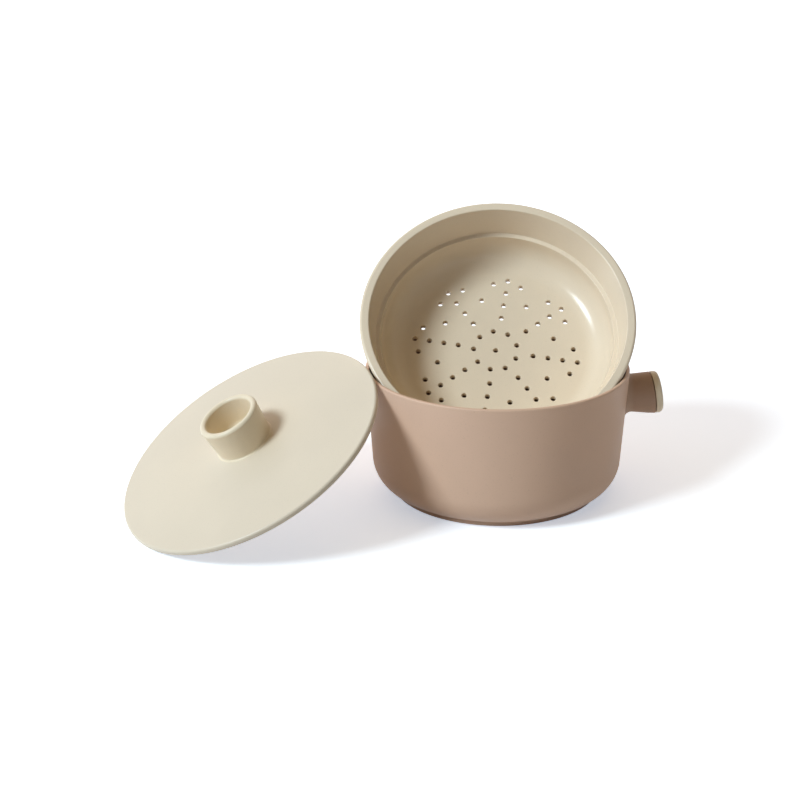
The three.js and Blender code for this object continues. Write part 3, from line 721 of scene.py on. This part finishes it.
class STEAMER_OT_handle(BuildOperator, Operator):
    """Makes the stub handle: grip, threaded insert, washer, bolt and end cap"""

    bl_idname = "steamer.handle"
    bl_label = "Handle"

    def execute(self, context):
        settings = context.scene.steamer_pot
        self.grip(settings)
        self.fastening(settings)
        self.end_cap(settings)
        return {"FINISHED"}

    def grip(self, settings):
        """The grip is turned, its root is bent round the wall and its end ring is tilted."""
        handle = settings.handle
        z, wall, seam, web = handle_stations(settings)
        root = wall + SEAM
        flare_end = root + handle.flare_edge + handle.flare
        flare_radius = handle.root_radius + handle.flare
        bolt_hole = handle.bolt_radius + BOLT_PLAY
        section = [
            (handle.pocket, root),
            (flare_radius, root),
            *arc(flare_radius, flare_end, handle.flare, -pi / 2, -pi, CORNER_STEPS),
            *[
                (
                    handle.root_radius + (handle.end_radius - handle.root_radius) * i / GRIP_STEPS,
                    flare_end + (seam - flare_end) * i / GRIP_STEPS,
                )
                for i in range(1, GRIP_STEPS)
            ],
            *rounded([
                (handle.end_radius - GRIP_RUN[0], seam - GRIP_RUN[1]),
                (handle.end_radius, seam, GRIP_EDGE),
                (handle.bore, seam, GRIP_EDGE),
                (handle.bore, web),
                (bolt_hole, web),
                (bolt_hole, web - handle.web),
                (handle.pocket, web - handle.web),
            ], FINE_STEPS)[1:],
        ]
        piece = turned(section, AROUND_SMALL, closed=True)
        lay_along_handle(piece, z)
        self.bend_root(piece, settings, root, flare_end, flare_radius)
        bpy.ops.object.mode_set(mode="EDIT")
        select_beyond(piece, seam - END_RING)
        bpy.ops.transform.rotate(
            value=handle.end_lean, orient_axis="Y", center_override=(seam, 0, z)
        )
        bpy.ops.object.mode_set(mode="OBJECT")
        dress(piece, "handle_grip", "pot", "grip_resin", settings)

    def bend_root(self, piece, settings, root, flare_end, reach):
        """A lattice bends the flared root round the pot's wall."""
        pot = settings.pot
        z, wall, _, _ = handle_stations(settings)
        span = Vector((flare_end - root, 2 * reach, 2 * reach))
        bpy.ops.object.add(type="LATTICE", location=((root + flare_end) / 2, 0, z))
        cage = bpy.context.object
        cage.scale = span
        for way, count in CAGE_POINTS.items():
            setattr(cage.data, f"points_{way}", count)
            setattr(cage.data, f"interpolation_type_{way}", "KEY_LINEAR")
        for point in cage.data.points:
            if point.co.x > 0:
                continue
            y = point.co.y * span.y
            radius = pot_outer(pot, z + point.co.z * span.z)
            shift = sqrt(radius ** 2 - y ** 2) - wall
            point.co_deform.x += shift / span.x
        modify(piece, "LATTICE", object=cage)
        bpy.data.objects.remove(cage)

    def fastening(self, settings):
        """Threaded insert in the boss, washer on the web and bolt through both."""
        handle = settings.handle
        gap = handle.fit_gap
        z, wall, _, web = handle_stations(settings)
        shank = handle.bolt_radius
        sleeve = washer(
            shank + gap, handle.sleeve_radius, wall + gap, web - handle.web - gap, SLEEVE_EDGE
        )
        ring_low = web + gap
        ring_high = ring_low + handle.washer_thickness
        ring = washer(shank + BOLT_PLAY, handle.washer_radius, ring_low, ring_high, THIN_EDGE)
        head = ring_high + gap
        head_end = head + handle.bolt_head_height
        tip = wall + BOLT_TIP_GAP
        bolt = turned(rounded([
            (0, tip),
            (shank, tip, FINE_EDGE),
            (shank, head, THIN_EDGE),
            (handle.bolt_head_radius, head, THIN_EDGE),
            (handle.bolt_head_radius, head_end, FINE_EDGE),
            (0, head_end),
        ]), AROUND_FASTENER)
        key = turned([
            (0, head_end - SOCKET_DEPTH),
            (handle.bolt_socket, head_end - SOCKET_DEPTH),
            (handle.bolt_socket, head_end + OVERSHOOT),
            (0, head_end + OVERSHOOT),
        ], HEXAGON)
        cut(bolt, key)
        for piece, node in (
            (sleeve, "handle_threaded_insert"), (ring, "handle_washer"), (bolt, "handle_bolt")
        ):
            lay_along_handle(piece, z)
            dress(piece, node, "pot", "stainless_steel", settings)

    def end_cap(self, settings):
        """A round-edged disc with a spigot, square to the leaning end plane."""
        handle = settings.handle
        z, _, seam, _ = handle_stations(settings)
        piece = turned(rounded([
            (0, -handle.spigot_length),
            (handle.spigot_radius, -handle.spigot_length, FINE_EDGE),
            (handle.spigot_radius, handle.seam_gap),
            (handle.end_radius, handle.seam_gap, CAP_EDGE),
            (handle.end_radius, handle.cap_thickness, handle.cap_round),
            (0, handle.cap_thickness),
        ], KNOB_STEPS), AROUND_SMALL)
        piece.rotation_euler = (0, pi / 2 - handle.end_lean, 0)
        piece.location = (seam, 0, z)
        settle(piece)
        dress(piece, "handle_end_cap", "pot", "cream_resin", settings)


class STEAMER_OT_insert(BuildOperator, Operator):
    """Turns the steaming insert, punches its steam holes and tilts it in the pot's mouth"""

    bl_idname = "steamer.insert"
    bl_label = "Steaming insert"

    def execute(self, context):
        settings = context.scene.steamer_pot
        insert = settings.insert
        collar, floor = insert.collar_depth, insert.floor_depth
        base = floor + insert.floor
        lean_in = tan(settings.pot.taper)
        outer = insert.body_top - (base - collar) * lean_in
        ledge_foot = insert.ledge_depth + insert.ledge_drop

        def inside(depth):
            """Inside radius of the body at a depth."""
            return insert.body_top - insert.wall - (depth - collar) * lean_in

        collar_inside = inside(ledge_foot) + insert.ledge_width
        inner_rim = insert.rim_radius - insert.rim_width
        rim = insert.rim_round
        outer_run = (insert.rim_radius - insert.collar_foot) / (collar - rim)
        section = [
            *rounded([
                (0, -base),
                (outer, -base, insert.corner + insert.wall),
                (insert.body_top, -collar),
            ], CORNER_STEPS)[:-1],
            *rounded([
                (outer, -base),
                (insert.body_top, -collar, FINE_EDGE),
                (insert.collar_foot, -collar, COLLAR_EDGE),
                (insert.rim_radius + outer_run * rim, 0, rim),
                (inner_rim, 0, insert.rim_inner_round),
                (collar_inside, -insert.ledge_depth, insert.ledge_round),
                (inside(ledge_foot), -ledge_foot, insert.ledge_round),
                (inside(floor), -floor),
            ], RIM_STEPS)[1:-1],
            *rounded([
                (inside(ledge_foot), -ledge_foot),
                (inside(floor), -floor, insert.corner),
                (0, -floor),
            ], CORNER_STEPS)[1:-1],
            (inside(floor) - insert.corner - FLOOR_RING, -floor),
            (0, -floor),
        ]
        piece = turned(section)
        cut(piece, self.punches(insert))
        stand(piece, insert)
        dress(piece, "steamer_insert", "insert", "insert_glaze", settings)
        return {"FINISHED"}

    def hole_places(self, insert):
        """One hole in the middle, a ring, straight arms with flankers and one between arms."""
        places = [(0, 0)]
        for i in range(insert.ring_count):
            turn = insert.ring_turn + tau * i / insert.ring_count
            places.append((insert.ring_radius, turn))
        for arm in range(insert.arm_count):
            turn = insert.arm_turn + tau * arm / insert.arm_count
            for step in range(insert.arm_holes):
                places.append((insert.arm_start + insert.arm_pitch * step, turn))
            places.append((insert.flank_radius, turn - insert.flank_angle))
            places.append((insert.flank_radius, turn + insert.flank_angle))
            places.append((insert.between_radius, turn + pi / insert.arm_count))
        return [(r * cos(t), r * sin(t)) for r, t in places]

    def punches(self, insert):
        """One trumpet-ended punch, copied to every hole and joined."""
        top = -insert.floor_depth
        low = top - insert.floor
        soft = insert.hole_round
        wide = insert.hole_radius + soft
        punch = turned([
            (0, low - PUNCH_OVERSHOOT),
            (wide, low - PUNCH_OVERSHOOT),
            *arc(wide, low + soft, soft, -pi / 2, -pi, FINE_STEPS),
            *arc(wide, top - soft, soft, pi, pi / 2, FINE_STEPS),
            (wide, top + PUNCH_OVERSHOOT),
            (0, top + PUNCH_OVERSHOOT),
        ], AROUND_HOLE)
        copies = []
        for x, y in self.hole_places(insert)[1:]:
            only(punch)
            bpy.ops.object.duplicate()
            bpy.ops.transform.translate(value=(x, y, 0))
            copies.append(bpy.context.object)
        join(punch, copies)
        return punch


class STEAMER_OT_lid(BuildOperator, Operator):
    """Turns the crowned lid with its locating ring and leans it on the pot"""

    bl_idname = "steamer.lid"
    bl_label = "Lid"

    def execute(self, context):
        settings = context.scene.steamer_pot
        lid = settings.lid
        span = lid.radius - lid.land
        bow = (span ** 2 + lid.crown ** 2) / (2 * lid.crown)

        def top(r):
            """Height of the crown at a radius."""
            return lid.crown - bow + sqrt(bow ** 2 - max(0, r - lid.land) ** 2)

        edge = lid.radius - lid.edge_round
        ring_in = lid.ring_radius - lid.ring_width
        ring_foot = -lid.thickness - lid.ring_height
        hole = lid.screw_radius + lid.screw_play
        under = [lid.land + (ring_in - lid.land) * i / CROWN_STEPS for i in range(CROWN_STEPS)]
        over = [edge + (lid.land - edge) * i / CROWN_STEPS for i in range(1, CROWN_STEPS + 1)]
        section = [
            (hole, lid.crown - lid.thickness),
            *[(r, top(r) - lid.thickness) for r in under],
            *rounded([
                (under[-1], top(under[-1]) - lid.thickness),
                (ring_in, top(ring_in) - lid.thickness, RING_ROOT),
                (ring_in, ring_foot, SOFT_EDGE),
                (lid.ring_radius, ring_foot, SOFT_EDGE),
                (lid.ring_radius, -lid.thickness, RING_ROOT),
                (lid.radius, -lid.thickness, lid.edge_round),
                (lid.radius, top(edge), lid.edge_round),
                (over[0], top(over[0])),
            ], RIM_STEPS)[1:],
            *[(r, top(r)) for r in over[1:]],
            (hole, lid.crown),
        ]
        piece = turned(section, closed=True)
        stand(piece, lid)
        dress(piece, "lid_plate", "lid", "lid_coating", settings)
        return {"FINISHED"}


class STEAMER_OT_knob(BuildOperator, Operator):
    """Makes the lid's knob: hollow knob, gasket, brass insert, washer and slotted screw"""

    bl_idname = "steamer.knob"
    bl_label = "Knob"

    def execute(self, context):
        settings = context.scene.steamer_pot
        lid = settings.lid
        gap = lid.gap
        hole = lid.screw_radius + lid.screw_play
        sleeve_z = lid.crown + gap + lid.gasket_thickness + gap
        sleeve_top = sleeve_z + lid.sleeve_length
        gasket = washer(
            hole, lid.gasket_radius, lid.crown + gap, sleeve_z - gap, THIN_EDGE, AROUND_SMALL
        )
        bore = lid.screw_radius + gap
        sleeve = washer(bore, lid.sleeve_radius, sleeve_z, sleeve_top, SLEEVE_EDGE)
        ring_top = lid.crown - lid.thickness - gap
        ring_low = ring_top - lid.washer_thickness
        ring = washer(hole, lid.washer_radius, ring_low, ring_top, THIN_EDGE)
        head_top = ring_low - gap
        head_low = head_top - lid.screw_head_height
        screw = turned(rounded([
            (0, head_low),
            (lid.screw_head_radius, head_low, SOFT_EDGE),
            (lid.screw_head_radius, head_top, THIN_EDGE),
            (lid.screw_radius, head_top, THIN_EDGE),
            (lid.screw_radius, sleeve_top - gap, FINE_EDGE),
            (0, sleeve_top - gap),
        ]), AROUND_FASTENER)
        cut(screw, self.slot_blade(lid, head_low))
        knob = self.hollow_knob(lid, sleeve_z, sleeve_top)
        for piece, node, slot in (
            (knob, "lid_knob", "cream_resin"),
            (gasket, "knob_gasket", "silicone"),
            (sleeve, "knob_threaded_insert", "brass"),
            (ring, "knob_washer", "stainless_steel"),
            (screw, "knob_screw", "stainless_steel"),
        ):
            stand(piece, lid)
            dress(piece, node, "lid", slot, settings)
        return {"FINISHED"}

    def hollow_knob(self, lid, recess_z, pocket_top):
        """A flared cup with a boss on its floor and a recess for the gasket under its foot."""
        foot_z = lid.crown + SEAM
        top = foot_z + lid.knob_height
        cup = foot_z + lid.knob_floor
        flare = lid.knob_foot + lid.knob_flare
        flare_z = foot_z + lid.knob_flare
        recess = lid.gasket_radius + lid.gap
        pocket = lid.sleeve_radius + lid.gap
        section = [
            (0, pocket_top + lid.gap),
            (pocket, pocket_top + lid.gap),
            (pocket, recess_z),
            (recess, recess_z),
            (recess, foot_z),
            (flare, foot_z),
            *arc(flare, flare_z, lid.knob_flare, -pi / 2, -pi, ROUND_STEPS)[1:],
            *rounded([
                (lid.knob_foot, flare_z),
                (lid.knob_top, top, lid.knob_round),
                (lid.knob_top - lid.knob_wall, top, lid.knob_round),
                (lid.knob_foot - lid.knob_wall, cup, lid.cup_round),
                (lid.boss_radius, cup, BOSS_ROOT),
                (lid.boss_radius, cup + lid.boss_height, SOFT_EDGE),
                (0, cup + lid.boss_height),
            ], KNOB_STEPS)[1:],
        ]
        return turned(section, AROUND_SMALL)

    def slot_blade(self, lid, head_low):
        """A blade as wide as the slot, grown from a plane."""
        across = 2 * lid.screw_head_radius + 2 * OVERSHOOT
        blade = plane(1, (0, 0, head_low - OVERSHOOT), (across, lid.slot_width, 1))
        bpy.ops.object.mode_set(mode="EDIT")
        bpy.ops.mesh.select_all(action="SELECT")
        rise = (0, 0, lid.slot_depth + OVERSHOOT)
        bpy.ops.mesh.extrude_region_move(TRANSFORM_OT_translate={"value": rise})
        bpy.ops.mesh.select_all(action="SELECT")
        bpy.ops.mesh.normals_make_consistent(inside=False)
        bpy.ops.object.mode_set(mode="OBJECT")
        return blade


class STEAMER_OT_stage(BuildOperator, Operator):
    """Sets up the floor, the soft studio light, the white background and the camera"""

    bl_idname = "steamer.stage"
    bl_label = "Stage"

    def execute(self, context):
        stage = context.scene.steamer_pot.stage
        self.floor(stage)
        self.room(context.scene, stage)
        self.key_light(stage)
        self.camera(context.scene, stage)
        context.scene.view_settings.view_transform = "Standard"
        return {"FINISHED"}

    def split(self, tree, output, lit, seen):
        """Ends a tree in one shader for light and one for what is seen, also in a mirror."""
        path = add_node(tree, "ShaderNodeLightPath").outputs
        shiny = maths(tree, "MAXIMUM", path["Is Glossy Ray"], path["Is Transmission Ray"])
        direct = maths(tree, "MAXIMUM", path["Is Camera Ray"], shiny)
        both = add_node(tree, "ShaderNodeMixShader", {"Fac": direct, 1: lit, 2: seen})
        add_node(tree, output, {"Surface": both.outputs["Shader"]})

    def floor(self, stage):
        """A wide pale floor that adds white of its own for the camera and keeps shadows."""
        floor = plane(stage.floor_size, (0, 0, -FLOOR_DROP))
        floor.name = floor.data.name = "studio_floor"
        material = new_material("pale_studio_floor")
        tree = material.node_tree
        grey = stage.floor_bounce
        bounce = add_node(tree, "ShaderNodeBsdfDiffuse", {"Color": (grey, grey, grey, 1)})
        paper = add_node(tree, "ShaderNodeBsdfDiffuse", {"Color": (*stage.floor_tint, 1)})
        glow = add_node(tree, "ShaderNodeEmission", {"Color": (*stage.floor_lift, 1)})
        seen = add_node(tree, "ShaderNodeAddShader", {
            0: paper.outputs["BSDF"], 1: glow.outputs["Emission"],
        })
        bounced, shown = bounce.outputs["BSDF"], seen.outputs["Shader"]
        self.split(tree, "ShaderNodeOutputMaterial", bounced, shown)
        floor.data.materials.append(material)

    def room(self, scene, stage):
        """A room lit by two walls and the ceiling, and plain white to look at."""
        world = bpy.data.worlds.new("white_studio")
        world.use_nodes = True
        scene.world = world
        tree = world.node_tree
        tree.nodes.clear()
        way = add_node(tree, "ShaderNodeTexCoord").outputs["Generated"]
        light = (0, 0, 0)
        for facing, tint, strength in (
            (BACK_WAY, stage.back_tint, stage.back_level),
            (LEFT_WAY, stage.left_tint, stage.left_level),
            (TOP_WAY, stage.top_tint, stage.top_level),
        ):
            front = maths(tree, "MAXIMUM", vectors(tree, "DOT_PRODUCT", way, facing), 0.0)
            share = maths(tree, "POWER", front, ROOM_FOCUS)
            wall = vectors(tree, "SCALE", Vector(tint) * strength, share)
            light = vectors(tree, "ADD", wall, light)
        glow = add_node(tree, "ShaderNodeBackground", {"Color": light})
        white = add_node(tree, "ShaderNodeBackground", {"Color": (1, 1, 1, 1)})
        lit, seen = glow.outputs["Background"], white.outputs["Background"]
        self.split(tree, "ShaderNodeOutputWorld", lit, seen)

    def key_light(self, stage):
        """A soft key light from the left front."""
        data = bpy.data.lights.new("key_softbox", "SUN")
        data.energy = stage.key_level
        data.color = stage.key_tint
        data.angle = stage.key_softness
        lamp = bpy.data.objects.new("key_softbox", data)
        bpy.context.scene.collection.objects.link(lamp)
        flat = cos(stage.key_height)
        towards = Vector((
            flat * cos(stage.key_azimuth),
            flat * sin(stage.key_azimuth),
            sin(stage.key_height),
        ))
        lamp.rotation_euler = towards.to_track_quat("Z", "Y").to_euler()

    def camera(self, scene, stage):
        """A camera at the place and angle of the view."""
        data = bpy.data.cameras.new("camera")
        data.lens = stage.lens
        camera = bpy.data.objects.new("camera", data)
        scene.collection.objects.link(camera)
        turn = Matrix.Rotation(-stage.camera_yaw, 4, "Z")
        raise_view = Matrix.Rotation(pi / 2 - stage.camera_pitch, 4, "X")
        roll = Matrix.Rotation(stage.camera_roll, 4, "Z")
        camera.matrix_world = Matrix.Translation(stage.camera_place) @ turn @ raise_view @ roll
        scene.camera = camera


class STEAMER_PT_sidebar(Panel):
    """Lists the settings and the building steps"""

    bl_label = "Steamer Pot"
    bl_idname = "STEAMER_PT_sidebar"
    bl_space_type = "VIEW_3D"
    bl_region_type = "UI"
    bl_category = "Steamer Pot"

    def draw(self, context):
        """Draws a button for each step and a box for each group of settings."""
        settings = context.scene.steamer_pot
        for operator in OPERATORS:
            self.layout.operator(operator.bl_idname)
        for part in settings.bl_rna.properties:
            group = getattr(settings, part.identifier)
            if not isinstance(group, PropertyGroup):
                continue
            box = self.layout.box()
            box.label(text=part.identifier.title())
            for item in group.bl_rna.properties:
                if item.identifier not in ("name", "rna_type"):
                    box.prop(group, item.identifier)


GROUPS = (
    PotSizes, HandleSizes, InsertSizes, LidSizes, Finishes, StageSettings, SteamerPotSettings,
)
OPERATORS = (
    STEAMER_OT_pot_body, STEAMER_OT_base_disc, STEAMER_OT_handle, STEAMER_OT_insert,
    STEAMER_OT_lid, STEAMER_OT_knob, STEAMER_OT_stage,
)


def register():
    """Registers the classes and the scene's settings."""
    for item in (*GROUPS, *OPERATORS, STEAMER_PT_sidebar):
        bpy.utils.register_class(item)
    bpy.types.Scene.steamer_pot = PointerProperty(type=SteamerPotSettings)


def unregister():
    """Removes the settings and the classes."""
    del bpy.types.Scene.steamer_pot
    for item in reversed((*GROUPS, *OPERATORS, STEAMER_PT_sidebar)):
        bpy.utils.unregister_class(item)


def main():
    register()
    bpy.ops.steamer.pot_body()
    bpy.ops.steamer.base_disc()
    bpy.ops.steamer.handle()
    bpy.ops.steamer.insert()
    bpy.ops.steamer.lid()
    bpy.ops.steamer.knob()
    bpy.ops.steamer.stage()


if __name__ == "__main__":
    main()
